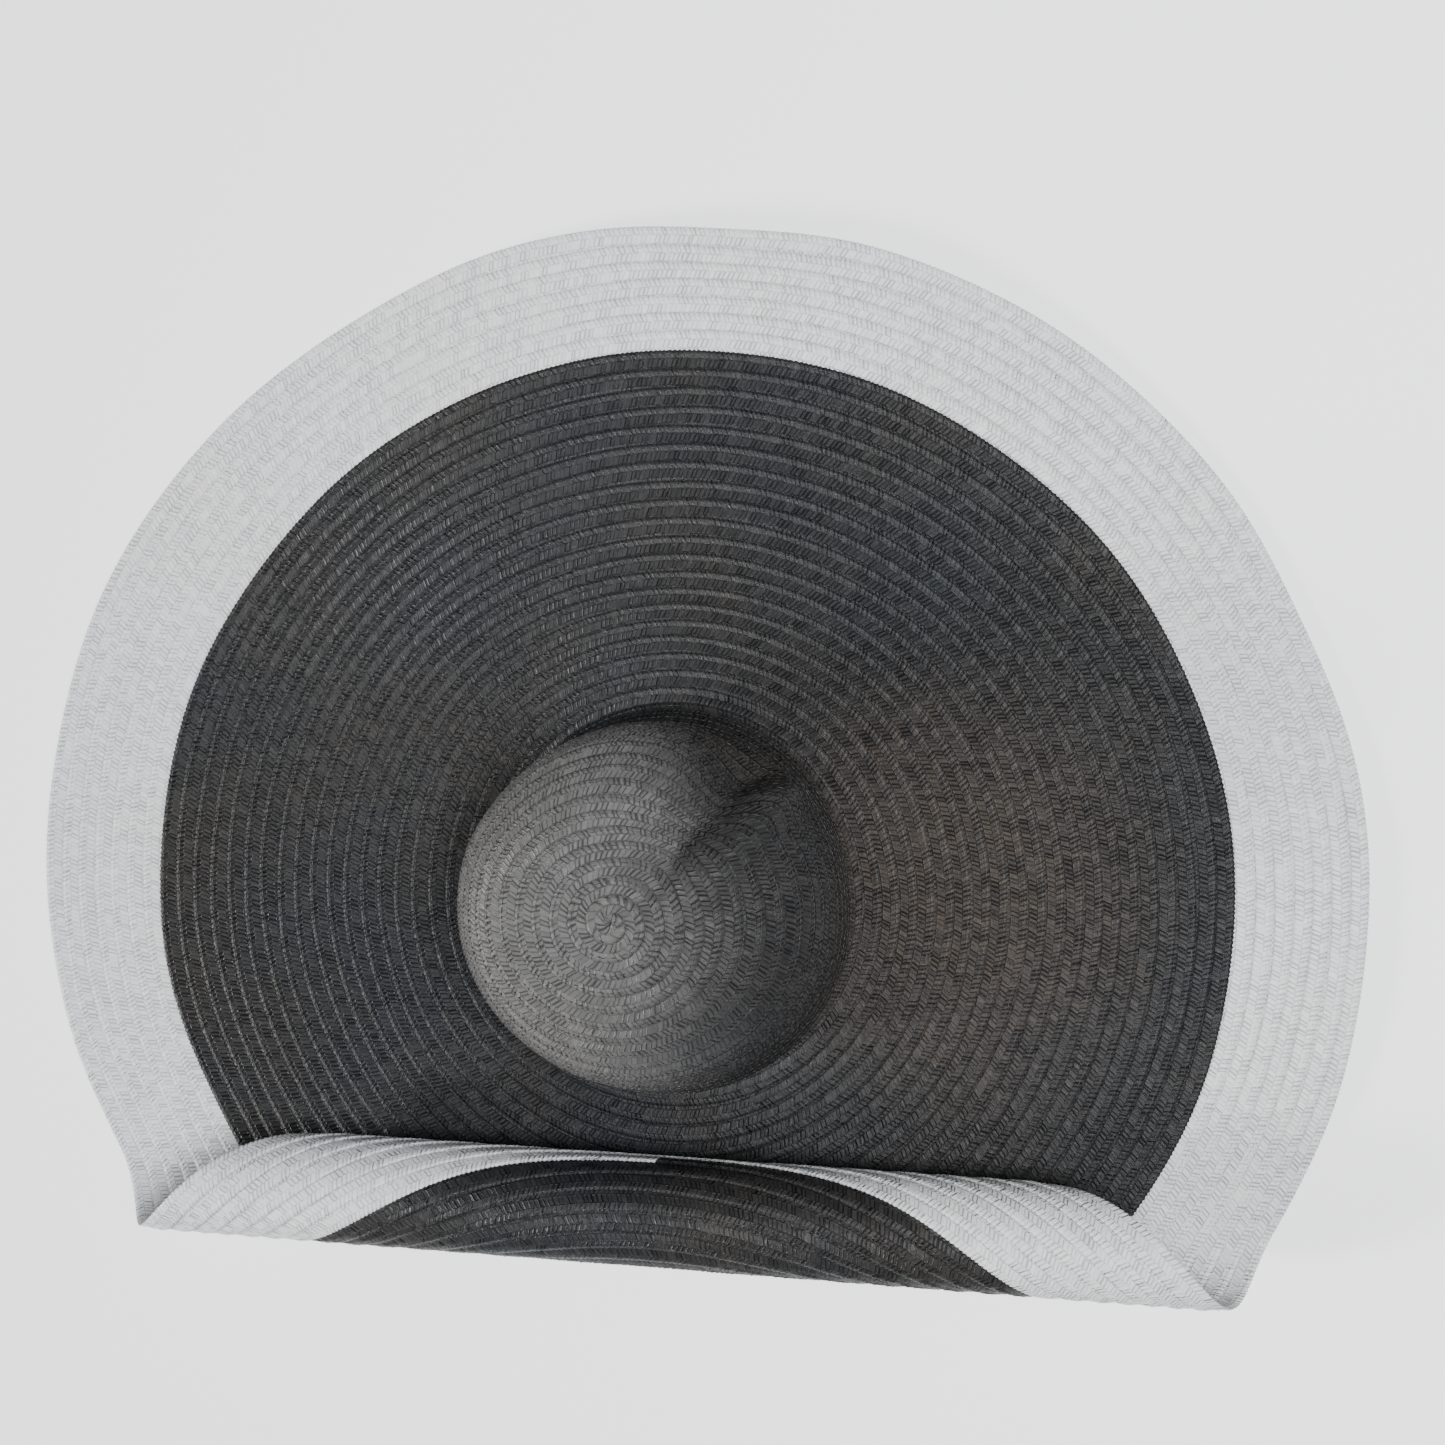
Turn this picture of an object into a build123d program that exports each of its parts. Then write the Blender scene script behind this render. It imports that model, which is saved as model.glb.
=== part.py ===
from build123d import *
import math
import os

# Wide floppy sun hat, sewn from one long braid in a spiral.  The hat lies crown up on its
# brim: z = 0 is the underside of the flat brim, the origin is the centre of the head
# opening, and the front of the brim (-Y) is rolled up into a scroll along a line parallel to X.

# ---- driving dimensions, mm --------------------------------------------------------------
HEAD_RADIUS = 90.5            # inside the sweatband: a 57 cm head
BAND_HEIGHT = 30.0
BAND_THICKNESS = 0.8
CLOTH = 2.2                   # two layers of braid where the rows lap
ROW_STEP = 0.7                # each row's edge stands this far out from the next row
CROWN_RADIUS = 93.7           # outside of the straight part of the crown wall
WALL_TOP = 32.0               # the wall is straight up to here
CROWN_HEIGHT = 120.0
CROWN_SQUARENESS = 3.2        # exponent of the dome: 2 is an ellipse, more is squarer
CROWN_LEAN = (-6.0, 11.0)     # sideways shift of the crown's top
LEAN_TOP = 87.0               # the wall leans from WALL_TOP up to here
CROWN_ROW = 8.0               # spacing of the braid rows on the crown
CROWN_SPLIT_RADIUS = 84.0     # the top of the crown inside this radius presses down
PRESS_GAP = 0.4
TIP_COIL_RADIUS = 16.5        # first turns of the spiral
BLACK_RADIUS = 284.0          # outer edge of the black rows
BRIM_RADIUS = 350.0           # outer edge of the hat
BLACK_ROWS = 20
WHITE_ROWS = 7
ROW_LAND = 3.0                # flat stretch under each row, at its inner edge
FOLD_DISTANCE = 156.0         # from the origin to where the brim starts to roll up
OUTER_ROLL_RADIUS = 26.2      # middle of the cloth, first turn of the scroll
INNER_ROLL_RADIUS = 23.05     # middle of the cloth, after OUTER_SPANS spans
ROLL_BODIES = 6               # stiff slats that stand for the bending cloth
OUTER_SPANS = 4
SLAT_GAP = 0.4
THREAD_WIDTH = 0.8
THREAD_THICKNESS = 0.25
STITCH_INSET = 1.6            # from a row's outer edge to its line of stitches
TAB_WIDTH = 14.0
TAB_THICKNESS = 0.3
FREE = 2.0                    # how far a cutting tool reaches past what it cuts
SLOPE_REACH = 0.5             # the crown's slope is taken over this far up and down
DOME_SAMPLES = 2000           # points along the dome's curve

# ---- worked out --------------------------------------------------------------------------
MID = CLOTH / 2
SPAN = (BRIM_RADIUS - FOLD_DISTANCE) / (ROLL_BODIES + 0.5)
OUTER_LENGTH = OUTER_SPANS * SPAN
BLACK_ROW = (BLACK_RADIUS - CROWN_RADIUS) / BLACK_ROWS
WHITE_ROW = (BRIM_RADIUS - BLACK_RADIUS) / WHITE_ROWS
DOME_HEIGHT = CROWN_HEIGHT - WALL_TOP


def revolved(points):
    """A ring or dome about Z from its outline in the XZ plane."""
    outline = Polyline(*[(r, 0, z) for r, z in points], close=True)
    return revolve(make_face(outline), Axis.Z)


def save(node, shape):
    export_step(shape, "parts/" + node + ".step")


# ---- crown -------------------------------------------------------------------------------
def dome_point(angle):
    """A point of the dome's outside: 0 is the top of the wall, pi/2 the tip."""
    power = 2 / CROWN_SQUARENESS
    r = CROWN_RADIUS * max(math.cos(angle), 0) ** power
    return r, WALL_TOP + DOME_HEIGHT * math.sin(angle) ** power


def crown_path():
    """The crown's outside from its foot to its tip, as (length, r, z)."""
    path = [(0.0, CROWN_RADIUS, 0.0)]
    for i in range(DOME_SAMPLES + 1):
        r, z = dome_point(i * math.pi / 2 / DOME_SAMPLES)
        length, last_r, last_z = path[-1]
        path.append((length + math.hypot(r - last_r, z - last_z), r, z))
    return path


CROWN_PATH = crown_path()
CROWN_LENGTH = CROWN_PATH[-1][0]
CROWN_ROWS = round(CROWN_LENGTH / CROWN_ROW)
CROWN_PITCH = CROWN_LENGTH / CROWN_ROWS


def on_crown(length):
    length = min(max(length, 0), CROWN_LENGTH)
    for (s0, r0, z0), (s1, r1, z1) in zip(CROWN_PATH, CROWN_PATH[1:]):
        if length <= s1:
            part = (length - s0) / (s1 - s0) if s1 > s0 else 0
            return r0 + part * (r1 - r0), z0 + part * (z1 - z0)
    return CROWN_PATH[-1][1:]


def crown_offset(length, depth):
    """A point of the crown, depth below its outside; the crown is level at its tip."""
    low_r, low_z = on_crown(length - SLOPE_REACH)
    high_r, high_z = on_crown(length + SLOPE_REACH)
    along_r, along_z = high_r - low_r, high_z - low_z
    if length > CROWN_LENGTH - SLOPE_REACH:
        along_r, along_z = -1, 0
    size = math.hypot(along_r, along_z)
    r, z = on_crown(length)
    return max(r - depth * along_z / size, 0), z + depth * along_r / size


def crown_rows(depth):
    """Lapped rows from the foot up: each row's lower edge lies outside the row below."""
    points = []
    for row in range(CROWN_ROWS):
        points.append(crown_offset(row * CROWN_PITCH, depth))
        points.append(crown_offset((row + 1) * CROWN_PITCH, depth + ROW_STEP))
    return points


def leaned(shape):
    """Shear the upper wall sideways, so that it leans."""
    slope_x, slope_y = [shift / (LEAN_TOP - WALL_TOP) for shift in CROWN_LEAN]
    shear = Matrix([
        [1, 0, slope_x, -slope_x * WALL_TOP],
        [0, 1, slope_y, -slope_y * WALL_TOP],
        [0, 0, 1, 0],
        [0, 0, 0, 1],
    ])
    return shape.transform_geometry(shear)


def shifted(shape):
    """Move the top of the crown to where the leaning wall carries it."""
    return Pos(*CROWN_LEAN, 0) * shape


def above(z):
    reach = 2 * BRIM_RADIUS
    return Pos(0, 0, z) * Box(reach, reach, reach, align=(Align.CENTER, Align.CENTER, Align.MIN))


def disc(radius):
    return Cylinder(radius, 2 * CROWN_HEIGHT)


def crown_thread(row):
    """One ring of stitches near the lower edge of a row, lying on the row's face."""
    low_r, low_z = crown_offset(row * CROWN_PITCH, 0)
    high_r, high_z = crown_offset((row + 1) * CROWN_PITCH, ROW_STEP)
    length = math.hypot(high_r - low_r, high_z - low_z)
    along_r, along_z = (high_r - low_r) / length, (high_z - low_z) / length
    corners = []
    for s, lift in (
        (STITCH_INSET, 0),
        (STITCH_INSET + THREAD_WIDTH, 0),
        (STITCH_INSET + THREAD_WIDTH, THREAD_THICKNESS),
        (STITCH_INSET, THREAD_THICKNESS),
    ):
        corners.append((low_r + along_r * s + along_z * lift, low_z + along_z * s - along_r * lift))
    return revolved(corners)


def make_crown():
    shell = revolved(crown_rows(0) + crown_rows(CLOTH - ROW_STEP)[::-1])
    wall = shell - above(WALL_TOP)
    dome = shell & above(WALL_TOP)
    side = dome - disc(CROWN_SPLIT_RADIUS)
    top = dome & disc(CROWN_SPLIT_RADIUS - PRESS_GAP)
    leaning = side - above(LEAN_TOP)
    shoulder = side & above(LEAN_TOP)
    save("crown_side_braid", wall + leaned(leaning) + shifted(shoulder))
    save("crown_top_braid", shifted(top - disc(TIP_COIL_RADIUS)))
    save("crown_tip_coil", shifted(top & disc(TIP_COIL_RADIUS)))

    wall_threads, side_threads, top_threads = [], [], []
    for row in range(CROWN_ROWS - 1):
        r, z = on_crown(row * CROWN_PITCH)
        next_r, next_z = on_crown((row + 1) * CROWN_PITCH)
        if z < CLOTH:
            continue
        if next_z < WALL_TOP:
            wall_threads.append(crown_thread(row))
        elif z > WALL_TOP and next_r > CROWN_SPLIT_RADIUS:
            side_threads.append(leaned(crown_thread(row)))
        elif z > WALL_TOP and r < CROWN_SPLIT_RADIUS - PRESS_GAP:
            top_threads.append(shifted(crown_thread(row)))
    save("crown_side_stitching", Compound(wall_threads + side_threads))
    save("crown_top_stitching", Compound(top_threads))


# ---- flat brim ---------------------------------------------------------------------------
def brim_outline(inner, row_width, rows):
    """Lapped rows: each row's outer edge lies on top of the next row out."""
    top, bottom = [], []
    for row in range(rows):
        start = inner + row * row_width
        top += [(start, CLOTH - ROW_STEP), (start + row_width, CLOTH)]
        bottom += [(start, 0), (start + ROW_LAND, 0), (start + row_width, ROW_STEP)]
    return top + bottom[::-1]


def behind_fold(shape):
    """What lies on the flat side of the fold line."""
    reach = 2 * BRIM_RADIUS
    return shape & (Pos(0, reach / 2 - FOLD_DISTANCE, 0) * Box(2 * reach, reach, reach))


def brim_threads(inner, row_width, rows):
    slope = ROW_STEP / row_width
    rings = []
    for row in range(rows):
        outer = inner + (row + 1) * row_width - STITCH_INSET
        start = outer - THREAD_WIDTH
        z_outer = CLOTH - slope * STITCH_INSET
        z_start = z_outer - slope * THREAD_WIDTH
        ring = revolved([
            (start, z_start),
            (outer, z_outer),
            (outer, z_outer + THREAD_THICKNESS),
            (start, z_start + THREAD_THICKNESS),
        ])
        rings += behind_fold(ring).solids()
    return Compound(rings)


def make_brim():
    black = revolved(brim_outline(CROWN_RADIUS, BLACK_ROW, BLACK_ROWS))
    white = revolved(brim_outline(BLACK_RADIUS, WHITE_ROW, WHITE_ROWS))
    save("brim_black_braid", behind_fold(black))
    save("brim_white_braid", behind_fold(white))
    save("brim_black_stitching", brim_threads(CROWN_RADIUS, BLACK_ROW, BLACK_ROWS))
    save("brim_white_stitching", brim_threads(BLACK_RADIUS, WHITE_ROW, WHITE_ROWS))


# ---- rolled-up front of the brim ---------------------------------------------------------
def roll_frame(s):
    """Place and direction of the cloth's middle, s mm past the fold line, in (y, z)."""
    turn = min(s, OUTER_LENGTH) / OUTER_ROLL_RADIUS
    out = OUTER_ROLL_RADIUS * math.sin(turn)
    up = OUTER_ROLL_RADIUS * (1 - math.cos(turn))
    if s > OUTER_LENGTH:
        centre_out = out - INNER_ROLL_RADIUS * math.sin(turn)
        centre_up = up + INNER_ROLL_RADIUS * math.cos(turn)
        turn += (s - OUTER_LENGTH) / INNER_ROLL_RADIUS
        out = centre_out + INNER_ROLL_RADIUS * math.sin(turn)
        up = centre_up - INNER_ROLL_RADIUS * math.cos(turn)
    return Vector(0, -FOLD_DISTANCE - out, MID + up), turn


def on_roll(s, lift):
    """A point lift mm towards the inside of the curl from the cloth's middle."""
    place, turn = roll_frame(s)
    return place + Vector(0, math.sin(turn), math.cos(turn)) * lift


def half_width(s, radius):
    """Half the width of the cloth inside a circle of the hat, s mm past the fold line."""
    return math.sqrt(max(radius**2 - (FOLD_DISTANCE + s) ** 2, 0))


def slat_bar(start, end):
    """The bent cloth between two lines of the roll, wider than the hat."""
    middle = (start + end) / 2
    inner = ThreePointArc(on_roll(start, MID), on_roll(middle, MID), on_roll(end, MID))
    outer = ThreePointArc(on_roll(end, -MID), on_roll(middle, -MID), on_roll(start, -MID))
    outline = inner + outer + Line(inner @ 1, outer @ 0) + Line(outer @ 1, inner @ 0)
    return extrude(make_face(outline), amount=BRIM_RADIUS, dir=(1, 0, 0), both=True)


def slat_cutter(start, end, radius):
    """A block whose sides follow a circle of the hat along the bent cloth."""
    middle = (start + end) / 2
    centre, turn = roll_frame(middle)
    plane = Plane(centre, x_dir=(1, 0, 0), z_dir=(0, math.sin(turn), math.cos(turn)))

    def local(s, side):
        along = plane.to_local_coords(on_roll(s, 0)).Y
        return side * half_width(s, radius), along

    low = start - FREE
    high = min(end + FREE, radius - FOLD_DISTANCE)
    mean = (low + high) / 2
    if high < radius - FOLD_DISTANCE:
        right = ThreePointArc(local(low, 1), local(mean, 1), local(high, 1))
        left = ThreePointArc(local(high, -1), local(mean, -1), local(low, -1))
        edges = right + left + Line(right @ 1, left @ 0) + Line(left @ 1, right @ 0)
    else:
        rim = ThreePointArc(local(low, 1), local(high, 1), local(low, -1))
        edges = rim + Line(rim @ 1, rim @ 0)
    face = plane * make_face(edges)
    normal = plane.z_dir
    return extrude(face, amount=OUTER_ROLL_RADIUS, dir=normal, both=True)


def make_slat(black_node, white_node, start, end):
    bar = slat_bar(start, end)
    cloth = bar & slat_cutter(start, end, BRIM_RADIUS)
    if start + FREE < BLACK_RADIUS - FOLD_DISTANCE:
        black_cutter = slat_cutter(start, end, BLACK_RADIUS)
        save(black_node, cloth & black_cutter)
        cloth = cloth - black_cutter
    save(white_node, cloth)


def make_roll():
    make_slat("brim_fold_black", "brim_fold_white", 0, SPAN / 2 - SLAT_GAP / 2)
    for k in range(1, ROLL_BODIES + 1):
        start = (k - 0.5) * SPAN + SLAT_GAP / 2
        end = (k + 0.5) * SPAN - SLAT_GAP / 2
        make_slat(f"roll_{k}_black", f"roll_{k}_white", start, end)


# ---- sweatband ---------------------------------------------------------------------------
def make_sweatband():
    outside = HEAD_RADIUS + BAND_THICKNESS
    band = revolved([(HEAD_RADIUS, 0), (outside, 0), (outside, BAND_HEIGHT), (HEAD_RADIUS, BAND_HEIGHT)])
    deep = HEAD_RADIUS + THREAD_THICKNESS
    threads = []
    for low in (STITCH_INSET, BAND_HEIGHT - STITCH_INSET - THREAD_WIDTH):
        high = low + THREAD_WIDTH
        threads.append(revolved([(HEAD_RADIUS, low), (deep, low), (deep, high), (HEAD_RADIUS, high)]))
    tab_low = 2 * STITCH_INSET + THREAD_WIDTH
    tab_high = BAND_HEIGHT - tab_low
    back = HEAD_RADIUS + TAB_THICKNESS
    ring = revolved([(HEAD_RADIUS, tab_low), (back, tab_low), (back, tab_high), (HEAD_RADIUS, tab_high)])
    slot = Pos(0, HEAD_RADIUS, BAND_HEIGHT / 2) * Box(TAB_WIDTH, HEAD_RADIUS, BAND_HEIGHT)
    tab = ring & slot
    save("sweatband", band - threads[0] - threads[1] - tab)
    save("sweatband_stitching", Compound(threads))
    save("sweatband_joint_tab", tab)


os.makedirs("parts", exist_ok=True)
make_crown()
make_brim()
make_roll()
make_sweatband()
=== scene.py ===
import math

import bpy
import numpy as np
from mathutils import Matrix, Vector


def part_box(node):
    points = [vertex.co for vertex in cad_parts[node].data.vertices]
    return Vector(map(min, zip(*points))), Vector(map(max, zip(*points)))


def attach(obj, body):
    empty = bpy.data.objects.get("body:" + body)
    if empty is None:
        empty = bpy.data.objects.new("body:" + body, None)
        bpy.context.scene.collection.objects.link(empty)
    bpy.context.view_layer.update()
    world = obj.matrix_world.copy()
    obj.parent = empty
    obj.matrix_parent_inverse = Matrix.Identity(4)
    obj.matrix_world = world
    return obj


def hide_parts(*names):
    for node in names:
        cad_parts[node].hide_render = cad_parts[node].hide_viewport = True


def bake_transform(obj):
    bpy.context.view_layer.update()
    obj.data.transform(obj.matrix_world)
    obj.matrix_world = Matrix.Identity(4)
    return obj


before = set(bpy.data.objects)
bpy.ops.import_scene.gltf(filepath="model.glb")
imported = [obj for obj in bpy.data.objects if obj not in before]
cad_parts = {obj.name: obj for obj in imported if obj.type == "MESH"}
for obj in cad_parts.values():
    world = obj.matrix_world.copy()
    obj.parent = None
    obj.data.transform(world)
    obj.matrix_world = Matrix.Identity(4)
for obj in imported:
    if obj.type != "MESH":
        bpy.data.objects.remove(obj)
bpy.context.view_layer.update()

# The hat is one long plaited braid, wound clockwise from the crown's tip to the rim and sewn
# row on row.  Places on it are given in braid terms: the distance along the hat's profile from
# the tip, the angle round the crown (clockwise from the front, seen from above) and the depth
# below the outer face.  Sizes here are millimetres; meshes are written in metres.
MM = 0.001

# ---- sizes, mm -----------------------------------------------------------------------------
CLOTH = 2.2                   # two layers of braid where the rows lap
LAYER = 1.05                  # one layer of braid
CROWN_RADIUS = 93.7
CROWN_HEIGHT = 120.0
WALL_TOP = 32.0
LEAN_TOP = 87.0
DOME_POWER = 2 / 3.2
FOOT_RADIUS = 6.0             # the curve from the crown's wall into the brim
BLACK_EDGE = 288.8            # outer edge of the black braid where it ends, at the front
RIM_EDGE = 352.6              # outer edge of the white braid where it ends, at the front
FIRST_TURN = 0.55             # the braid starts this far round the tip
TIP_TURNS = 2.2               # turns of the tip coil
CROWN_TURNS = 22              # turns from the tip to the foot of the crown
BLACK_TURNS = 42              # turns from the tip to the end of the black braid
ALL_TURNS = 49                # turns from the tip to the rim
WALL_SPLIT = 17               # the crown's wall is cut into two pieces at this turn
END_TURNS = 0.12              # the strip narrows over the last part of its last turn
END_NARROWING = 0.75
BRAID_WIDTH = 12.4
LAP = 3.0
CELL = 2.45                   # length of one plait cell along the braid
COLUMNS = 3                   # columns of ribs across the braid
STITCH_PITCH = 3.7            # from one stitch to the next along a row
STITCH_LENGTH = 2.5
STITCH_WIDTH = 0.42
STITCH_START = 30.0           # bare braid before the first stitch and after the last
STITCH_STOP = 10
TOP_STITCH_INSET = 1.9        # the upper line of stitches, in from the strip's outer edge
LOW_STITCH_INSET = 1.4        # the lower line of stitches, in from the strip's inner edge
TOP_STITCH_FACES = (-0.1, 0.26)     # a stitch's two faces, off the face it lies on
LOW_STITCH_FACES = (0.05, -0.24)
RELIEF = 0.26                 # height of the plait's ribs above the strip
SLANT = 0.75                  # the ribs zigzag this far along the braid from column to column
SEAM_RELIEF = 0.3             # share of the relief left between two columns
SEAM_SINK = 0.05
RIM_RELIEF = 0.12             # the strip's two edges: ribs, how deep they lie, and their scallops
RIM_SINK = 0.25
RIM_SCALLOP = 0.22
FOLD = 156.0                  # distance of the fold line from the origin
OUTER_ROLL = 26.2             # radius of the curl's first four spans
INNER_ROLL = 23.05            # radius of the curl after them
SPANS = 6
SPAN = 194 / 6.5              # length of cloth from one hinge of the roll to the next
OUTER_LENGTH = 4 * SPAN
TOP_BAND = 100.0              # above this height the crown's pieces ride one body

crown_low, crown_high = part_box("crown_top_braid")
LEAN = np.array([crown_low[0] + crown_high[0], crown_low[1] + crown_high[1]]) / 2 / MM
TIP_DRIFT = np.array([-5.0, 0.0])     # the tip's offset from the leaning axis
CREASE_AZIMUTH = 58           # degrees from +X towards +Y
CREASE_SIDE = -3.5            # the crease's floor, left of that line; minus is right
CREASE_DEPTH = 18.0
CREASE_LEFT = 28.0            # half width of the crease on its left
CREASE_RIGHT = 11.0           # and on its right
RIDGE_HEIGHT = 5.0            # cloth pushed up on the crease's right
RIDGE_OFFSET = 20.0
RIDGE_WIDTH = 9.0
# Where the brim's rows swing in or out: degrees from +X towards +Y, half width in degrees, mm
# outwards, and the radius where it starts.
SWINGS = (
    (-12, 22, -2.2, 110), (157, 15, 1.0, 110), (205, 11, -3.2, 110),
    (28, 9, -3.5, 290), (86, 9, -4.5, 290), (142, 16, 2.2, 290),
)
SWING_FULL = 345              # the radius where a swing is full
# The brim's pieces: colour, word in the name, first turn and last turn.
BRIM_GROUPS = (
    ("black", "inner", CROWN_TURNS, 29), ("black", "middle", 29, 34), ("black", "outer", 34, 38),
    ("black", "edge", 38, BLACK_TURNS), ("white", "inner", BLACK_TURNS, 46),
    ("white", "rim", 46, ALL_TURNS + 1),
)
RIBBON_THICK = 0.7
RIBBON_GAP = 0.05             # between the ribbon and the crown's wall at the ribbon's foot
RIBBON_STAND_OFF = 0.45       # the ribbon's upper edge stands off by about this
TAB_HALF_WIDTH = 7.0
TAB_INSET = 4.2               # the tab ends this far inside the ribbon's two edges
TAB_LIFT = 0.42               # the tab's face, off the ribbon
TAB_BEVEL = 0.25


# ---- the hat's surface ---------------------------------------------------------------------
def make_profile():
    """The outer face from the tip to the rim: length, radius, height and unit normal."""
    angle = np.linspace(np.pi / 2, 0, 1500)
    radius = list(CROWN_RADIUS * np.maximum(np.cos(angle), 0) ** DOME_POWER)
    height = list(WALL_TOP + (CROWN_HEIGHT - WALL_TOP) * np.sin(angle) ** DOME_POWER)
    for z in np.linspace(WALL_TOP - 1, CLOTH + FOOT_RADIUS, 40):
        radius.append(CROWN_RADIUS)
        height.append(z)
    for turn in np.linspace(0.05, 1, 20) * np.pi / 2:
        radius.append(CROWN_RADIUS + FOOT_RADIUS * (1 - math.cos(turn)))
        height.append(CLOTH + FOOT_RADIUS * (1 - math.sin(turn)))
    for r in np.linspace(CROWN_RADIUS + FOOT_RADIUS + 1, RIM_EDGE + 20, 400):
        radius.append(r)
        height.append(CLOTH)
    radius, height = np.array(radius), np.array(height)
    length = np.concatenate([[0], np.cumsum(np.hypot(np.diff(radius), np.diff(height)))])
    even = np.linspace(0, length[-1], 6000)
    radius, height = np.interp(even, length, radius), np.interp(even, length, height)
    dr, dz = np.gradient(radius), np.gradient(height)
    size = np.hypot(dr, dz)
    return even, radius, height, -dz / size, dr / size


PROFILE = make_profile()
FOOT_LENGTH = np.interp(CROWN_RADIUS + FOOT_RADIUS, PROFILE[1], PROFILE[0])
RADIUS_SHIFT = FOOT_LENGTH - (CROWN_RADIUS + FOOT_RADIUS)     # brim length minus brim radius


def smooth(x, low, high):
    """0 below low, 1 above high and an even curve between."""
    t = np.clip((x - low) / (high - low), 0, 1)
    return t * t * (3 - 2 * t)


def outer_edge(turns):
    """Profile length of the braid's outer edge after so many turns."""
    knots = [0, CROWN_TURNS, BLACK_TURNS, ALL_TURNS]
    lengths = [0, FOOT_LENGTH + 2, BLACK_EDGE + RADIUS_SHIFT, RIM_EDGE + RADIUS_SHIFT]
    return np.interp(turns, knots, lengths)


def brim_wave(x, y):
    """How far the flat brim stands off the table; it never dips under it."""
    r = np.hypot(x, y)
    angle = np.arctan2(y, x)
    out = smooth(r, 130, 340)
    back = 7.0 * out * np.exp(-((angle - math.radians(85)) / 0.42) ** 2)
    right = 4.0 * out * np.exp(-((angle - math.radians(-5)) / 0.3) ** 2)
    valley = np.abs(x + 195 + 0.05 * y) / 150
    left = 4.5 * smooth(-x, 60, 130) * smooth(r, 105, 150) * valley ** 1.15
    ripple = 0.8 * out * (1 + np.sin(5 * angle + 0.6) * np.cos(r / 60))
    return (back + right + left + ripple) * smooth(y, -FOLD, -FOLD + 70)


def row_swing(angle, r):
    """The brim isn't cut on a compass: its rows swing in and out a little."""
    compass = (-90 - np.degrees(angle)) % 360
    swing = 0
    for middle, width, out, start in SWINGS:
        off = (compass - middle + 180) % 360 - 180
        swing = swing + out * np.exp(-((off / width) ** 2)) * smooth(r, start, SWING_FULL)
    return swing


def roll_place(s, lift):
    """The rolled brim: (out from the fold, height of the cloth's middle) at lift towards the curl."""
    turn = np.clip(s, 0, OUTER_LENGTH) / OUTER_ROLL
    out, up = OUTER_ROLL * np.sin(turn), OUTER_ROLL * (1 - np.cos(turn))
    more = np.maximum(s - OUTER_LENGTH, 0) / INNER_ROLL
    centre_out = out - INNER_ROLL * np.sin(turn)
    centre_up = up + INNER_ROLL * np.cos(turn)
    turn = turn + more
    out = np.where(more > 0, centre_out + INNER_ROLL * np.sin(turn), out)
    up = np.where(more > 0, centre_up - INNER_ROLL * np.cos(turn), up)
    return out - lift * np.sin(turn), up + lift * np.cos(turn)


def crown_shape(x, y, z):
    """Lean the crown, slacken its shoulder and press a soft crease into its back right."""
    lean = np.clip((z - WALL_TOP) / (LEAN_TOP - WALL_TOP), 0, 1)
    drift = smooth(z, 96, 119)
    r = np.maximum(np.hypot(x, y), 1)
    along = math.radians(CREASE_AZIMUTH)
    side = -x * math.sin(along) + y * math.cos(along)
    forward = x * math.cos(along) + y * math.sin(along)
    reach = smooth(forward, 6, 46) * smooth(z, 30, 70)
    valley_width = np.where(side > CREASE_SIDE, CREASE_LEFT, CREASE_RIGHT)
    valley = CREASE_DEPTH * np.exp(-((side - CREASE_SIDE) / valley_width) ** 2)
    ridge = RIDGE_HEIGHT * np.exp(-((side - CREASE_SIDE + RIDGE_OFFSET) / RIDGE_WIDTH) ** 2)
    push = reach * (valley - ridge)
    inward = smooth(r, 35, 92)
    slack = smooth(z, 28, 62)
    x, y = x * (1 - push * inward / r), y * (1 - push * inward / r)
    x = x * (1 - 0.035 * slack * smooth(-x, 0, 40))
    y = y * (1 - 0.060 * slack * smooth(-y, 0, 40))
    z = z - push * (1 - 0.7 * inward)
    y = y * (1 - 0.11 * smooth(z, 40, 100) * smooth(y, 0, 50))
    fall = 10.0 * smooth(y, 15, 85) + 7.0 * smooth(x, 10, 80) + 1.2 * smooth(-y, 10, 80)
    z = z - fall * smooth(z, 60, 112)
    return x + lean * LEAN[0] + drift * TIP_DRIFT[0], y + lean * LEAN[1] + drift * TIP_DRIFT[1], z


def back_flare(x, y, z):
    """At the back the crown's wall runs out into the brim in a wider curve."""
    r = np.hypot(x, y)
    return 6.0 * smooth(y, 15, 85) * (1 - smooth(z, 4, 40)) * (1 - smooth(r, 104, 190))


def place(length, angle, depth):
    """A point of the hat in mm, and how far past the fold line its cloth lies."""
    even, radius, height, normal_r, normal_z = PROFILE
    length = np.maximum(length, 0.3)
    r = np.interp(length, even, radius)
    z = np.interp(length, even, height) - depth * np.interp(length, even, normal_z)
    r = r - depth * np.interp(length, even, normal_r) + row_swing(angle, r)
    x, y = -r * np.sin(angle), -r * np.cos(angle)
    crown = length < FOOT_LENGTH
    flare = back_flare(x, y, z)
    cx, cy, cz = crown_shape(x, y, z)
    x, z = np.where(crown, cx, x), np.where(crown, cz, z)
    past = np.where(crown, -FOLD, -FOLD - y)
    y = np.where(crown, cy, y) + flare
    out, up = roll_place(past, CLOTH / 2 - depth)
    rolled = past > 0
    flat_z = z + np.where(crown, 0, brim_wave(x, y))
    y = np.where(rolled, -FOLD - out, y)
    z = np.where(rolled, CLOTH / 2 + up, flat_z)
    return np.stack([x, y, z], -1), past


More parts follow.
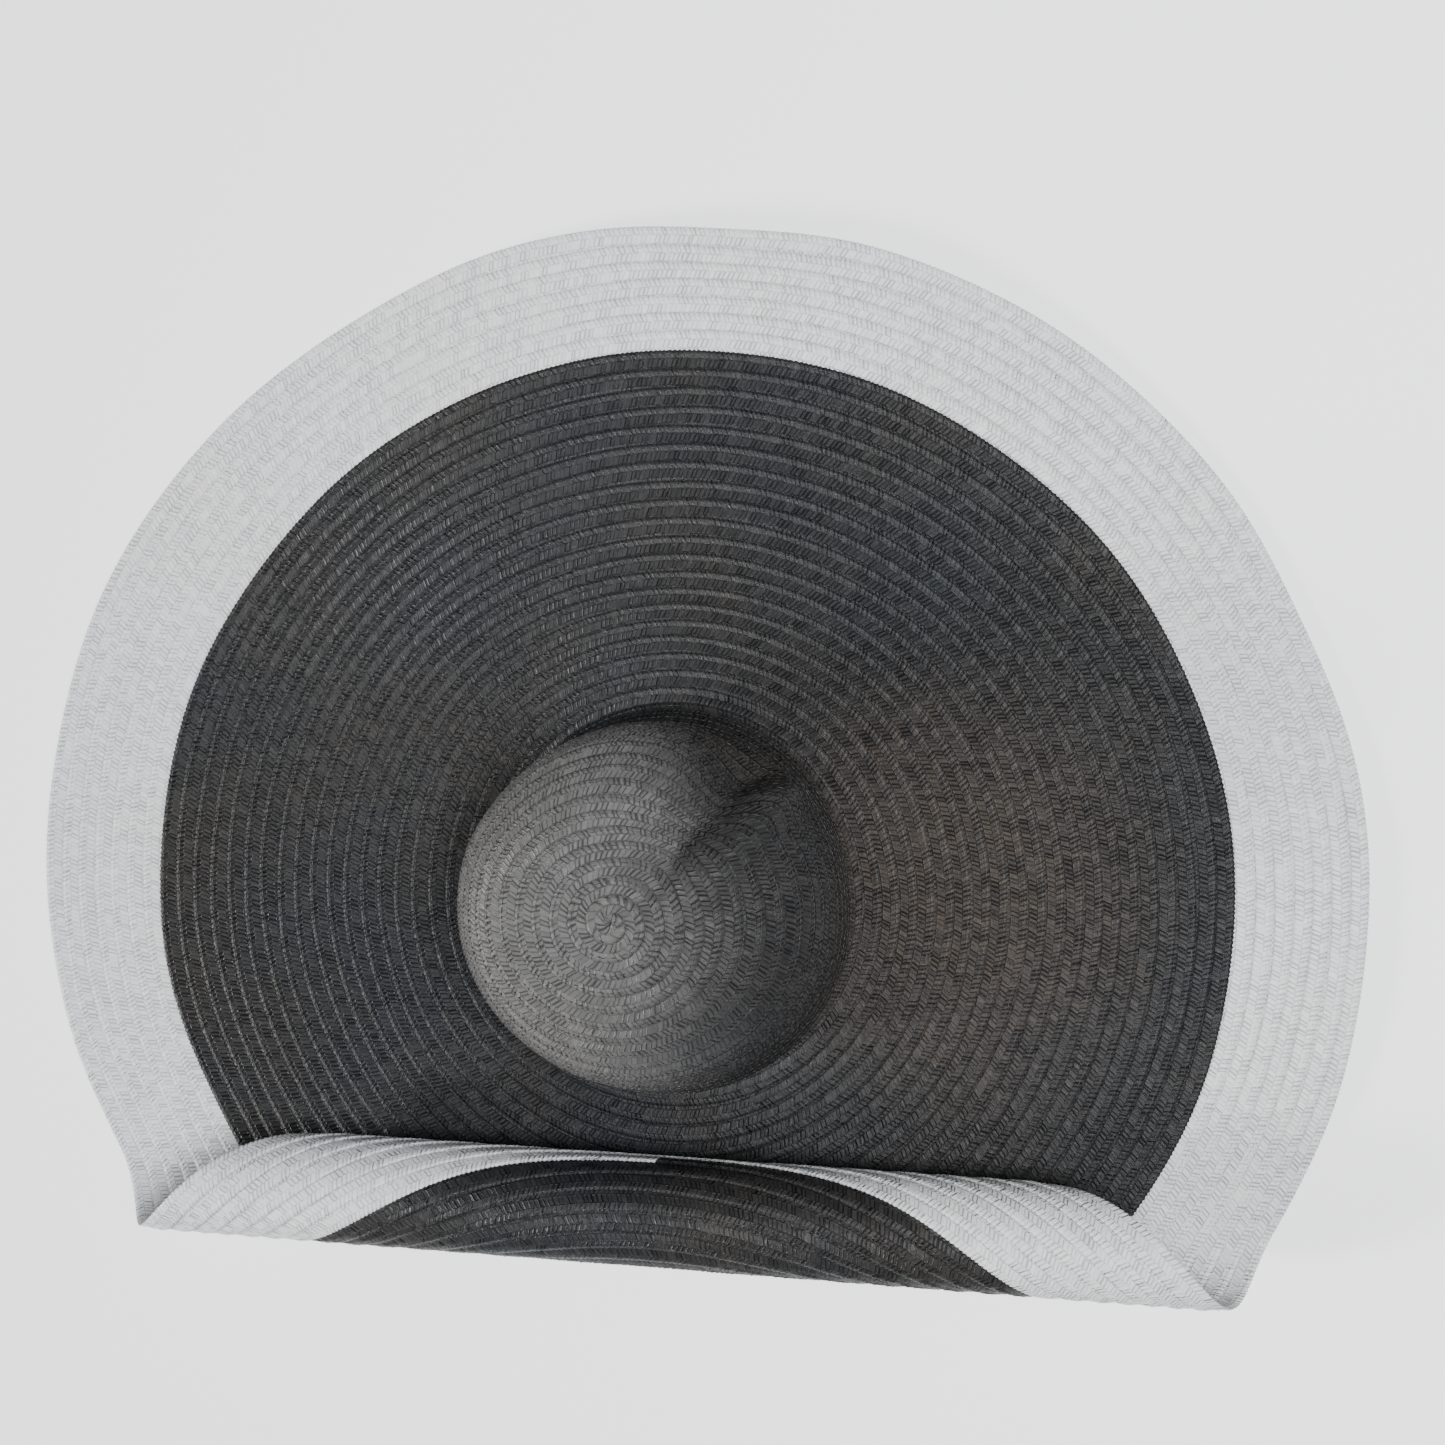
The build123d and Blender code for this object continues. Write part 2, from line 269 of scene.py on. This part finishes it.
# ---- the braid -----------------------------------------------------------------------------
def braid_track():
    """Turns made at each step along the braid, with even steps of half a plait cell."""
    turns = np.linspace(FIRST_TURN, ALL_TURNS, 60000)
    middle = np.interp(outer_edge(turns) - BRAID_WIDTH / 2, PROFILE[0], PROFILE[1])
    run = np.concatenate([[0], np.cumsum(2 * np.pi * np.maximum(middle[1:], 2.5) * np.diff(turns))])
    steps = int(run[-1] / (CELL / 2))
    return run, turns, np.arange(steps) * CELL / 2


RUN, TURNS, STEPS = braid_track()
ACROSS = 3 * COLUMNS + 1


def on_braid(along, across, lift, under=False):
    """A point of the sewn braid: mm along it, mm out from its inner edge, mm off the face.

    Each row's outer edge lies on the next row; the strip climbs over the lap.  The strip's end
    narrows until it is hidden under the row before it.  The face is the upper one, or the lower
    one when under is set."""
    turns = np.interp(along, RUN, TURNS)
    edge = outer_edge(turns)
    sway = 0.35 * np.sin(along / 23.0) + 0.3 * np.sin(along / 61.0 + 1.0)
    width = BRAID_WIDTH * (1 - END_NARROWING * smooth(turns, ALL_TURNS - END_TURNS, ALL_TURNS))
    climb = np.clip((across - LAP) / (BRAID_WIDTH - 2 * LAP), 0, 1)
    depth = LAYER * (1 - climb) + (LAYER + lift if under else -lift)
    length = edge - BRAID_WIDTH + across * width / BRAID_WIDTH + sway * smooth(turns, 3, 8)
    return place(length, 2 * np.pi * turns, depth)


def braid_grid():
    """Every corner of the braid's skin: steps x (top then underside) x across."""
    column = np.arange(ACROSS)
    across = column * BRAID_WIDTH / (ACROSS - 1)
    lanes = column * COLUMNS / (ACROSS - 1)
    zigzag = (2 * np.abs(1 - lanes % 2) - 1) * SLANT
    step = np.arange(len(STEPS))[:, None]
    lane = np.minimum(column // 3, COLUMNS - 1)
    seam = column % 3 == 0
    rib = np.where((step + lane) % 2 == 0, 1.0, -1.0)
    nearness = np.clip(1 - np.abs(lanes[None] - np.arange(COLUMNS)[:, None] - 0.5), 0, 1)
    nearness = nearness / nearness.sum(axis=0)
    rng = np.random.default_rng(11)
    cells = (len(STEPS) // 2 + 1, COLUMNS)
    strength = (rng.uniform(0.3, 1.5, cells) @ nearness)[step[:, 0] // 2]
    shift = (rng.normal(0, 0.25, cells) @ nearness)[step[:, 0] // 2]
    relief = RELIEF * rib * strength * np.where(seam, SEAM_RELIEF, 1.0) - SEAM_SINK * seam
    rim = (column == 0) | (column == ACROSS - 1)
    relief = np.where(rim, -RIM_SINK + RIM_RELIEF * rib, relief)
    scallop = np.where(rim, RIM_SCALLOP * rib * np.where(column == 0, -1, 1), 0)
    along = STEPS[:, None] + zigzag
    jitter = rng.normal(0, 0.05, relief.shape)
    top, past = on_braid(along + shift, across + scallop, relief + jitter)
    low, _ = on_braid(along + shift, across + scallop, relief - jitter, under=True)
    points = np.concatenate([top, low[:, ::-1]], axis=1)
    uv = np.stack([along / CELL + 0 * relief, across + 0 * relief], -1)
    uv_low = uv[:, ::-1] + np.array([0, 4 * BRAID_WIDTH / COLUMNS])
    return points, np.concatenate([uv, uv_low], axis=1), past


def face_rows(columns):
    """Corner numbers of the quads between two neighbouring steps of a closed strip."""
    j = np.arange(columns)
    k = (j + 1) % columns
    return np.stack([j, k, k + columns, j + columns], -1)


# ---- meshes --------------------------------------------------------------------------------
def new_mesh(name, points, faces, uv):
    """An object from points in mm; faces have four corners each, uv one pair a corner point."""
    used, corner = np.unique(faces.reshape(-1), return_inverse=True)
    mesh = bpy.data.meshes.new(name)
    mesh.vertices.add(len(used))
    mesh.vertices.foreach_set("co", (points[used] * MM).astype(np.float32).ravel())
    mesh.loops.add(len(corner))
    mesh.loops.foreach_set("vertex_index", corner.astype(np.int32))
    mesh.polygons.add(len(faces))
    mesh.polygons.foreach_set("loop_start", np.arange(0, len(corner), 4, dtype=np.int32))
    mesh.update(calc_edges=True)
    layer = mesh.uv_layers.new(name="braid")
    layer.data.foreach_set("uv", uv[faces.reshape(-1)].astype(np.float32).ravel())
    mesh.polygons.foreach_set("use_smooth", np.full(len(faces), True))
    mesh.validate()
    obj = bpy.data.objects.new(name, mesh)
    bpy.context.scene.collection.objects.link(obj)
    return obj


def finish_piece(obj, material, slot, *nodes):
    """Give a piece its material and hide the CAD nodes it stands for; slot is not used."""
    obj.data.materials.append(material)
    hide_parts(*nodes)


def move_with_roll(obj, span):
    """A piece past the last span rides the last slat's body; any other has its transform baked in."""
    if span > SPANS:
        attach(obj, f"brim_roll_{SPANS}")
        return
    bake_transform(obj)


def press_with_crown(obj):
    """Bake the crown wall piece's transform into its mesh."""
    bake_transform(obj)


# ---- materials -----------------------------------------------------------------------------
BLACK_LIGHT = (0.020, 0.0225, 0.0255, 1)
BLACK_DARK = (0.0060, 0.0068, 0.0082, 1)
# Gap colours: painted shade between the plait's ribs.
BLACK_GAP_SHADE = (0.0010, 0.0010, 0.0014, 1)
BLACK_WARM = (0.0300, 0.0270, 0.0240, 1)
# Brown for the brim right of the crown: painted warm light.
BLACK_PAINTED_WARM_LIGHT = (0.0600, 0.0480, 0.0390, 1)
# The black yarn's tint, dark and gap colours on the crown's top and left: painted light.
BLACK_PAINTED_LIGHT = ((0.104, 0.101, 0.099, 1), (0.050, 0.049, 0.048, 1), (0.019, 0.019, 0.019, 1))
WHITE_LIGHT = (0.60, 0.61, 0.63, 1)
WHITE_DARK = (0.44, 0.45, 0.47, 1)
# Painted shade between the plait's ribs.
WHITE_GAP_SHADE = (0.24, 0.25, 0.27, 1)
WHITE_WARM = (0.60, 0.59, 0.58, 1)


class Nodes:
    """Short forms for building one material's node tree."""

    def __init__(self, name):
        self.material = bpy.data.materials.new(name)
        self.material.use_nodes = True
        self.tree = self.material.node_tree
        self.tree.nodes.clear()
        self.shader = self.tree.nodes.new("ShaderNodeBsdfPrincipled")
        output = self.tree.nodes.new("ShaderNodeOutputMaterial")
        self.tree.links.new(self.shader.outputs["BSDF"], output.inputs["Surface"])

    def put(self, socket, value):
        if isinstance(value, bpy.types.NodeSocket):
            self.tree.links.new(value, socket)
        else:
            socket.default_value = value

    def math(self, operation, a, b=0.0, c=0.0):
        node = self.tree.nodes.new("ShaderNodeMath")
        node.operation = operation
        for socket, value in zip(node.inputs, (a, b, c)):
            self.put(socket, value)
        return node.outputs[0]

    def ramp(self, value, low, high, to_low=0.0, to_high=1.0):
        node = self.tree.nodes.new("ShaderNodeMapRange")
        node.interpolation_type = "SMOOTHSTEP"
        for name, item in (("Value", value), ("From Min", low), ("From Max", high),
                           ("To Min", to_low), ("To Max", to_high)):
            self.put(node.inputs[name], item)
        return node.outputs["Result"]

    def noise(self, vector, scale, detail=2.0):
        node = self.tree.nodes.new("ShaderNodeTexNoise")
        self.put(node.inputs["Vector"], vector)
        node.inputs["Scale"].default_value = scale
        node.inputs["Detail"].default_value = detail
        return node.outputs["Fac"]

    def scatter(self, x, y):
        """A different number from 0 to 1 for each whole x and y."""
        node = self.tree.nodes.new("ShaderNodeTexWhiteNoise")
        node.noise_dimensions = "2D"
        self.put(node.inputs["Vector"], self.vector(x, y))
        return node.outputs["Value"]

    def vector(self, x, y, z=0.0):
        node = self.tree.nodes.new("ShaderNodeCombineXYZ")
        for socket, value in zip(node.inputs, (x, y, z)):
            self.put(socket, value)
        return node.outputs[0]

    def mix(self, factor, a, b):
        node = self.tree.nodes.new("ShaderNodeMix")
        node.data_type = "RGBA"
        self.put(node.inputs["Factor"], factor)
        for name, value in (("A", a), ("B", b)):
            socket = [s for s in node.inputs if s.name == name and s.type == "RGBA"][0]
            self.put(socket, value)
        return [s for s in node.outputs if s.type == "RGBA"][0]

    def uv(self):
        node = self.tree.nodes.new("ShaderNodeUVMap")
        node.uv_map = "braid"
        split = self.tree.nodes.new("ShaderNodeSeparateXYZ")
        self.tree.links.new(node.outputs["UV"], split.inputs[0])
        return split.outputs["X"], split.outputs["Y"]

    def place(self):
        return self.tree.nodes.new("ShaderNodeTexCoord").outputs["Object"]

    def painted_light_side(self):
        """Painted light: 1 on the crown's top and left, going to 0 down its wall, to its right and back
        right and on the brim.
        """
        split = self.tree.nodes.new("ShaderNodeSeparateXYZ")
        self.tree.links.new(self.place(), split.inputs[0])
        x, y, z = (split.outputs[axis] for axis in "XYZ")
        radius = self.math("SQRT", self.math("MULTIPLY_ADD", x, x, self.math("MULTIPLY", y, y)))
        across = self.math("MULTIPLY_ADD", x, 0.97, self.math("MULTIPLY", y, -0.10))
        corner = self.math("MULTIPLY_ADD", x, 0.85, self.math("MULTIPLY", y, 0.50))
        top = self.math("MULTIPLY", self.ramp(z, 0.012, 0.070),
                        self.ramp(radius, 0.100, 0.125, 1.0, 0.0))
        left = self.math("MULTIPLY", self.ramp(across, -0.030, 0.070, 1.0, 0.0),
                         self.ramp(corner, 0.025, 0.070, 1.0, 0.0))
        return self.math("MULTIPLY", top, left)

    def painted_warm_light(self):
        """Painted warm light: 1 on the brim right of the crown, going to 0 all round."""
        away = self.tree.nodes.new("ShaderNodeVectorMath")
        away.operation = "DISTANCE"
        self.put(away.inputs[0], self.place())
        away.inputs[1].default_value = (0.150, 0.020, 0.0)
        return self.ramp(away.outputs["Value"], 0.020, 0.150, 1.0, 0.0)

    def bump(self, height, distance):
        node = self.tree.nodes.new("ShaderNodeBump")
        node.inputs["Strength"].default_value = 1.0
        node.inputs["Distance"].default_value = distance
        self.put(node.inputs["Height"], height)
        self.tree.links.new(node.outputs["Normal"], self.shader.inputs["Normal"])


def braid_material(name, light, dark, gap_shade, warm, roughness, pale=None):
    """Plaited paper yarn: slanting ribs across the strip, painted shade in the gaps between, fine creases
    along.

    With pale colours given, the crown's top and left get painted light, fading out to painted shade
    towards the crease at the back right, and the brim right of the crown gets painted warm light, in
    brown.  Both match the photo's tones; whether the real yarn is so isn't known."""
    n = Nodes(name)
    along, across = n.uv()
    lanes = n.math("DIVIDE", across, BRAID_WIDTH / COLUMNS)
    lane = n.math("FLOOR", lanes)
    lane_part = n.math("FRACT", lanes)
    odd = n.math("MODULO", lane, 2.0)
    lean = n.math("SUBTRACT", n.math("MULTIPLY", odd, 2.0), 1.0)
    slide = n.math("MULTIPLY", n.math("SUBTRACT", lane_part, 0.5), lean)
    phase = n.math("MULTIPLY_ADD", slide, -2 * SLANT / CELL, along)
    phase = n.math("ADD", phase, n.math("MULTIPLY_ADD", odd, 0.5, 0.5))
    cell = n.math("FLOOR", phase)
    cell_part = n.math("FRACT", phase)
    hump_a = n.math("SUBTRACT", 1.0, n.math("ABSOLUTE", n.math("MULTIPLY_ADD", cell_part, 2.0, -1.0)))
    hump_b = n.math("SUBTRACT", 1.0, n.math("ABSOLUTE", n.math("MULTIPLY_ADD", lane_part, 2.0, -1.0)))
    which = n.scatter(cell, lane)
    spread = n.scatter(n.math("ADD", cell, 0.5), lane)
    body_a = n.ramp(hump_a, 0.0, n.math("MULTIPLY_ADD", spread, 0.55, 0.18))
    body_b = n.ramp(hump_b, 0.0, 0.25, 0.45, 1.0)
    body = n.math("MULTIPLY", body_a, body_b)
    crease = n.noise(n.vector(n.math("MULTIPLY", phase, 5.0), n.math("MULTIPLY", across, 0.45)), 1.0, 3.0)
    broad = n.noise(n.place(), 9.0, 3.0)
    fine = n.noise(n.place(), 1400.0, 2.0)
    tint = n.mix(n.ramp(broad, 0.3, 0.7), light, warm)
    if pale:
        # Painted warm light, in brown, on the brim right of the crown.
        tint = n.mix(n.painted_warm_light(), tint, BLACK_PAINTED_WARM_LIGHT)
        # Painted light on the crown's top and left; towards the crease at its back right it fades out,
        # leaving painted shade.
        share = n.painted_light_side()
        tint, dark, gap_shade = (n.mix(share, own, other) for own, other in zip((tint, dark, gap_shade), pale))
    tone = n.mix(n.math("MULTIPLY_ADD", which, 0.45, n.math("MULTIPLY", crease, 0.65)), dark, tint)
    depth = n.math("MULTIPLY_ADD", spread, 0.8, 0.12)
    cover = n.math("SUBTRACT", 1.0, n.math("MULTIPLY", n.math("SUBTRACT", 1.0, body), depth))
    # The gap colour shows between the ribs as painted shade.
    n.put(n.shader.inputs["Base Color"], n.mix(cover, gap_shade, tone))
    n.put(n.shader.inputs["Roughness"], n.ramp(crease, 0.2, 0.8, roughness - 0.08, roughness + 0.12))
    relief = n.math("ADD", n.math("MULTIPLY", body, depth), n.math("MULTIPLY", crease, 0.6))
    relief = n.math("MULTIPLY_ADD", fine, 0.12, relief)
    n.bump(relief, 0.0006)
    return n


def make_materials():
    black = braid_material("black_paper_braid", BLACK_LIGHT, BLACK_DARK, BLACK_GAP_SHADE, BLACK_WARM, 0.36,
                           BLACK_PAINTED_LIGHT)
    black.shader.inputs["Specular IOR Level"].default_value = 0.16
    white = braid_material("white_paper_braid", WHITE_LIGHT, WHITE_DARK, WHITE_GAP_SHADE, WHITE_WARM, 0.55)
    white.shader.inputs["Specular IOR Level"].default_value = 0.30
    return {
        "black_braid": black.material,
        "white_braid": white.material,
        "black_thread": thread_material("charcoal_thread", (0.070, 0.070, 0.072, 1),
                                        (0.010, 0.010, 0.012, 1)),
        "white_thread": thread_material("white_thread", (0.72, 0.72, 0.72, 1), (0.50, 0.50, 0.51, 1)),
        "sweatband_ribbon": ribbon_material(),
    }


def thread_material(name, light, dark):
    """Two-ply sewing thread: a fine twist along each stitch."""
    n = Nodes(name)
    along, across = n.uv()
    twist = n.math("SINE", n.math("MULTIPLY_ADD", along, 16.0, n.math("MULTIPLY", across, 5.0)))
    fuzz = n.noise(n.place(), 2500.0, 2.0)
    tone = n.math("MULTIPLY_ADD", twist, 0.25, fuzz)
    stitch = n.scatter(n.math("FLOOR", n.math("DIVIDE", along, STITCH_PITCH)), 1.0)
    # Some stitches, picked at random, are painted lighter: painted glints.
    shine = n.math("MULTIPLY", n.ramp(tone, 0.2, 0.8), n.ramp(stitch, 0.6, 1.0, 0.2, 1.0))
    n.put(n.shader.inputs["Base Color"], n.mix(shine, dark, light))
    n.put(n.shader.inputs["Roughness"], n.ramp(fuzz, 0.3, 0.7, 0.32, 0.5))
    n.bump(tone, 0.00015)
    return n.material


def ribbon_material():
    """Grosgrain: fine upright ribs, woven across by the weft."""
    n = Nodes("sweatband_grosgrain")
    along, across = n.uv()
    rib = n.math("ABSOLUTE", n.math("SINE", n.math("MULTIPLY", along, math.pi / 1.1)))
    weft = n.math("SINE", n.math("MULTIPLY", across, 2 * math.pi / 0.45))
    wear = n.noise(n.place(), 22.0, 3.0)
    tone = n.math("MULTIPLY_ADD", weft, 0.12, n.math("MULTIPLY", rib, 0.7))
    tone = n.math("ADD", tone, n.math("MULTIPLY", wear, 0.35))
    n.put(n.shader.inputs["Base Color"],
          n.mix(n.ramp(tone, 0.1, 1.1), (0.010, 0.010, 0.012, 1), (0.050, 0.050, 0.056, 1)))
    n.put(n.shader.inputs["Roughness"], n.ramp(wear, 0.3, 0.7, 0.42, 0.62))
    n.shader.inputs["Sheen Weight"].default_value = 0.25
    n.bump(tone, 0.0003)
    return n.material


# ---- braid pieces --------------------------------------------------------------------------
def braid_pieces(materials):
    """Cut the one long braid into pieces: crown, brim groups, and each span of the roll."""
    points, uv, past = braid_grid()
    columns = 2 * ACROSS
    steps = np.arange(len(STEPS) - 1)
    faces = steps[:, None, None] * columns + face_rows(columns)[None]
    flat_points, flat_uv = points.reshape(-1, 3), uv.reshape(-1, 2)
    turns = np.interp(STEPS[:-1], RUN, TURNS)[:, None] * np.ones(columns)
    outer = np.minimum(np.arange(columns), columns - 1 - np.arange(columns))
    distance = past[:-1, :][:, np.minimum(outer, ACROSS - 1)]
    span = np.where(distance > 0, np.minimum(np.floor(distance / SPAN) + 1, SPANS + 1), 0)
    on_crown = turns < CROWN_TURNS
    high = np.broadcast_to(points[:-1, ACROSS // 2, 2][:, None] > TOP_BAND, on_crown.shape)
    black = turns < BLACK_TURNS

    def piece(name, chosen, colour, *nodes):
        obj = new_mesh(name, flat_points, faces[chosen], flat_uv)
        finish_piece(obj, materials[f"{colour}_braid"], f"{colour}_braid", *nodes)
        return obj

    def between(first, last):
        return (turns >= first) & (turns < last)

    tip = piece("crown_tip_braid_coil", on_crown & high & (turns < TIP_TURNS), "black", "crown_tip_coil")
    top = piece("crown_top_braid_rows", on_crown & high & (turns >= TIP_TURNS), "black", "crown_top_braid")
    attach(tip, "crown_top")
    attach(top, "crown_top")
    for word, first, last in (("upper", 0, WALL_SPLIT), ("lower", WALL_SPLIT, CROWN_TURNS)):
        wall = piece(f"crown_wall_{word}_braid_rows", on_crown & ~high & between(first, last), "black",
                     "crown_side_braid")
        press_with_crown(wall)
    for colour, word, first, last in BRIM_GROUPS:
        brim = piece(f"brim_{colour}_{word}_braid_rows", (span == 0) & between(first, last), colour,
                     f"brim_{colour}_braid")
        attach(brim, "hat")
    for k in range(1, SPANS + 2):
        for colour, mask in (("black", black), ("white", ~black)):
            chosen = (span == k) & mask & ~on_crown
            if chosen.any():
                nodes = roll_nodes(k, colour)
                move_with_roll(piece(f"rolled_brim_{colour}_span_{k}", chosen, colour, *nodes), k)


def roll_nodes(k, colour):
    """The CAD nodes that span k of one colour stands for."""
    slat = min(k, 4 if colour == "black" else SPANS)
    nodes = [f"roll_{slat}_{colour}"]
    if k == 1:
        nodes.append(f"brim_fold_{colour}")
    return nodes


# ---- stitches ------------------------------------------------------------------------------
BOX = np.array([[0, 1, 2, 3], [7, 6, 5, 4], [0, 4, 5, 1], [1, 5, 6, 2], [2, 6, 7, 3], [3, 7, 4, 0]])
def stitch_boxes(across, under):
    """One small block of thread per stitch: corner points, uv and where each lies."""
    centre = np.arange(STITCH_START, RUN[-1] - STITCH_STOP, STITCH_PITCH)
    ends = np.array([-1, 1, 1, -1]) * STITCH_LENGTH / 2
    sides = np.array([-1, -1, 1, 1]) * STITCH_WIDTH / 2
    rng = np.random.default_rng(5)
    shake = rng.normal(0, 0.12, (len(centre), 1))
    tilt = rng.normal(0, 0.06, (len(centre), 1)) * ends
    along = centre[:, None] + ends
    over = across + sides + shake + tilt
    deep, shallow = LOW_STITCH_FACES if under else TOP_STITCH_FACES
    low, past = on_braid(along, over, np.full(over.shape, deep), under)
    high, _ = on_braid(along, over, np.full(over.shape, shallow), under)
    points = np.concatenate([low, high], axis=1)
    flat = np.stack([along, over], -1)
    return centre, points, np.concatenate([flat, flat], axis=1), past.mean(axis=1)


def stitch_pieces(materials):
    """The sewing thread: a line of stitches near each row's outer edge, above and below."""
    parts = [stitch_boxes(BRAID_WIDTH - TOP_STITCH_INSET, False), stitch_boxes(LOW_STITCH_INSET, True)]
    centre = np.concatenate([p[0] for p in parts])
    points = np.concatenate([p[1] for p in parts])
    uv = np.concatenate([p[2] for p in parts]).reshape(-1, 2)
    past = np.concatenate([p[3] for p in parts])
    faces = np.arange(len(centre))[:, None, None] * 8 + BOX[None]
    turns = np.interp(centre, RUN, TURNS)
    span = np.where(past > 0, np.minimum(np.floor(past / SPAN) + 1, SPANS + 1), 0)
    crown = turns < CROWN_TURNS
    high = points[:, :, 2].mean(axis=1) > TOP_BAND
    black = turns < BLACK_TURNS

    def piece(name, chosen, colour, *nodes):
        obj = new_mesh(name, points.reshape(-1, 3), faces[chosen].reshape(-1, 4), uv)
        finish_piece(obj, materials[f"{colour}_thread"], f"{colour}_thread", *nodes)
        return obj

    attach(piece("crown_top_stitches", crown & high, "black", "crown_top_stitching"), "crown_top")
    press_with_crown(piece("crown_wall_stitches", crown & ~high, "black", "crown_side_stitching"))
    for colour, mask in (("black", black), ("white", ~black)):
        flat = piece(f"brim_{colour}_stitches", ~crown & (span == 0) & mask, colour,
                     f"brim_{colour}_stitching")
        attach(flat, "hat")
        for k in range(1, SPANS + 2):
            chosen = ~crown & (span == k) & mask
            if chosen.any():
                move_with_roll(piece(f"rolled_brim_{colour}_stitches_{k}", chosen, colour), k)


# ---- sweatband -----------------------------------------------------------------------------
def stand_off(angle, share):
    """How far the ribbon stands off the crown's wall, at a share of its height."""
    return RIBBON_STAND_OFF * share ** 2 * (1.2 + np.sin(9 * angle) * 0.5 + np.sin(23 * angle + 1) * 0.3)


def sweatband(materials):
    """Ribbon sewn inside the opening, its free upper edge standing off a little, ends lapped."""
    low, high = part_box("sweatband")
    outside = high[0] / MM
    tall = high[2] / MM
    around, levels = 720, 24
    angle = np.linspace(0, 2 * np.pi, around, endpoint=False)
    level = np.linspace(0, 1, levels)
    a, v = np.meshgrid(angle, level, indexing="ij")
    skins = []
    for depth in (0.0, RIBBON_THICK):
        r = outside - RIBBON_GAP - depth - stand_off(a, v)
        z = 0.15 + v * (tall - 0.3 + 0.25 * np.sin(7 * a))
        skins.append(np.stack([r * np.sin(a), r * np.cos(a), z], -1))
    points = np.concatenate([skins[0], skins[1][:, ::-1]], axis=1)
    columns = 2 * levels
    faces = (np.arange(around)[:, None, None] * columns + face_rows(columns)[None]) % (around * columns)
    uv = np.stack([a * outside, v * tall], -1)
    uv = np.concatenate([uv, uv[:, ::-1]], axis=1).reshape(-1, 2)
    band = new_mesh("sweatband_ribbon_loop", points.reshape(-1, 3), faces.reshape(-1, 4), uv)
    finish_piece(band, materials["sweatband_ribbon"], "sweatband_ribbon", "sweatband")
    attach(band, "hat")

    def inner_point(angles, levels_mm, lift):
        """A point lift mm inside the ribbon's inner face."""
        r = outside - RIBBON_GAP - RIBBON_THICK - stand_off(angles, levels_mm / tall) - lift
        return np.stack([r * np.sin(angles), r * np.cos(angles), levels_mm], -1)

    grid = 25
    x, z = np.meshgrid(np.linspace(-TAB_HALF_WIDTH, TAB_HALF_WIDTH, grid),
                       np.linspace(TAB_INSET, tall - TAB_INSET, grid), indexing="ij")
    edge = np.maximum(np.abs(x) / TAB_HALF_WIDTH, np.abs(z - tall / 2) / (tall / 2 - TAB_INSET))
    face = inner_point(x / outside, z, TAB_LIFT - TAB_BEVEL * smooth(edge, 0.86, 1.0))
    back = inner_point(x / outside, z, 0.02)
    points = np.concatenate([face, back[:, ::-1]], axis=1)
    columns = 2 * grid
    faces = np.arange(grid - 1)[:, None, None] * columns + face_rows(columns)[None]
    uv = np.stack([z, x], -1)
    uv = np.concatenate([uv, uv[:, ::-1]], axis=1).reshape(-1, 2)
    tab = new_mesh("sweatband_end_tab", points.reshape(-1, 3), faces.reshape(-1, 4), uv)
    finish_piece(tab, materials["sweatband_ribbon"], "sweatband_ribbon", "sweatband_joint_tab")
    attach(tab, "hat")

    boxes, marks = [], []
    pitch, half_length, half_width = 3.4, 1.15, 0.22
    for z0 in (2.4, 3.6, tall - 2.2):
        centre = np.arange(0, 2 * np.pi, pitch / outside)[:, None]
        wide_a = np.array([-1, 1, 1, -1]) * half_length / outside
        tall_z = z0 + np.array([-1, -1, 1, 1]) * half_width + 0 * centre
        at = centre + wide_a
        boxes.append(np.concatenate([inner_point(at, tall_z, 0.46), inner_point(at, tall_z, 0.0)], axis=1))
        flat = np.stack([at * outside, tall_z], -1)
        marks.append(np.concatenate([flat, flat], axis=1))
    boxes, marks = np.concatenate(boxes), np.concatenate(marks)
    faces = np.arange(len(boxes))[:, None, None] * 8 + BOX[None]
    seam = new_mesh("sweatband_stitches", boxes.reshape(-1, 3), faces.reshape(-1, 4), marks.reshape(-1, 2))
    finish_piece(seam, materials["black_thread"], "black_thread", "sweatband_stitching")
    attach(seam, "hat")


# ---- studio --------------------------------------------------------------------------------
def studio():
    """Plain pale floor, a low window light from the front left, a ceiling light, and the camera."""
    bpy.ops.mesh.primitive_plane_add(size=12, location=(0, 0, -0.0006))
    floor = bpy.context.object
    floor.name = "studio_floor"
    n = Nodes("studio_floor")
    n.shader.inputs["Base Color"].default_value = (0.93, 0.93, 0.93, 1)
    n.shader.inputs["Roughness"].default_value = 0.9
    floor.data.materials.append(n.material)

    world = bpy.data.worlds.new("studio")
    world.use_nodes = True
    world.node_tree.nodes["Background"].inputs["Color"].default_value = (0.96, 0.98, 1.0, 1)
    world.node_tree.nodes["Background"].inputs["Strength"].default_value = 0.25
    bpy.context.scene.world = world

    def lamp(name, where, size, watts, colour):
        """A round soft light at a place, turned to face the hat."""
        data = bpy.data.lights.new(name, "AREA")
        data.shape, data.size, data.energy, data.color = "DISK", size, watts, colour
        obj = bpy.data.objects.new(name, data)
        bpy.context.scene.collection.objects.link(obj)
        obj.location = where
        x, y, z = where
        obj.rotation_euler = (math.atan2(math.hypot(x, y), z), 0, math.atan2(-y, -x) - math.pi / 2)

    lamp("window_light", (-3.72, -1.36, 1.37), 1.1, 265, (1.0, 0.985, 0.96))
    lamp("ceiling_light", (0.75, 0.25, 2.1), 1.3, 112, (0.97, 0.985, 1.0))

    camera_data = bpy.data.cameras.new("photo_camera")
    camera_data.lens = 32.39
    camera_data.sensor_width = 36.0
    camera = bpy.data.objects.new("photo_camera", camera_data)
    bpy.context.scene.collection.objects.link(camera)
    camera.location = (0.0921, 0.1322, 0.6732)
    camera.rotation_euler = [math.radians(a) for a in (-3.05, 5.90, 1.66)]
    bpy.context.scene.camera = camera


studio()
MATERIALS = make_materials()
braid_pieces(MATERIALS)
stitch_pieces(MATERIALS)
sweatband(MATERIALS)
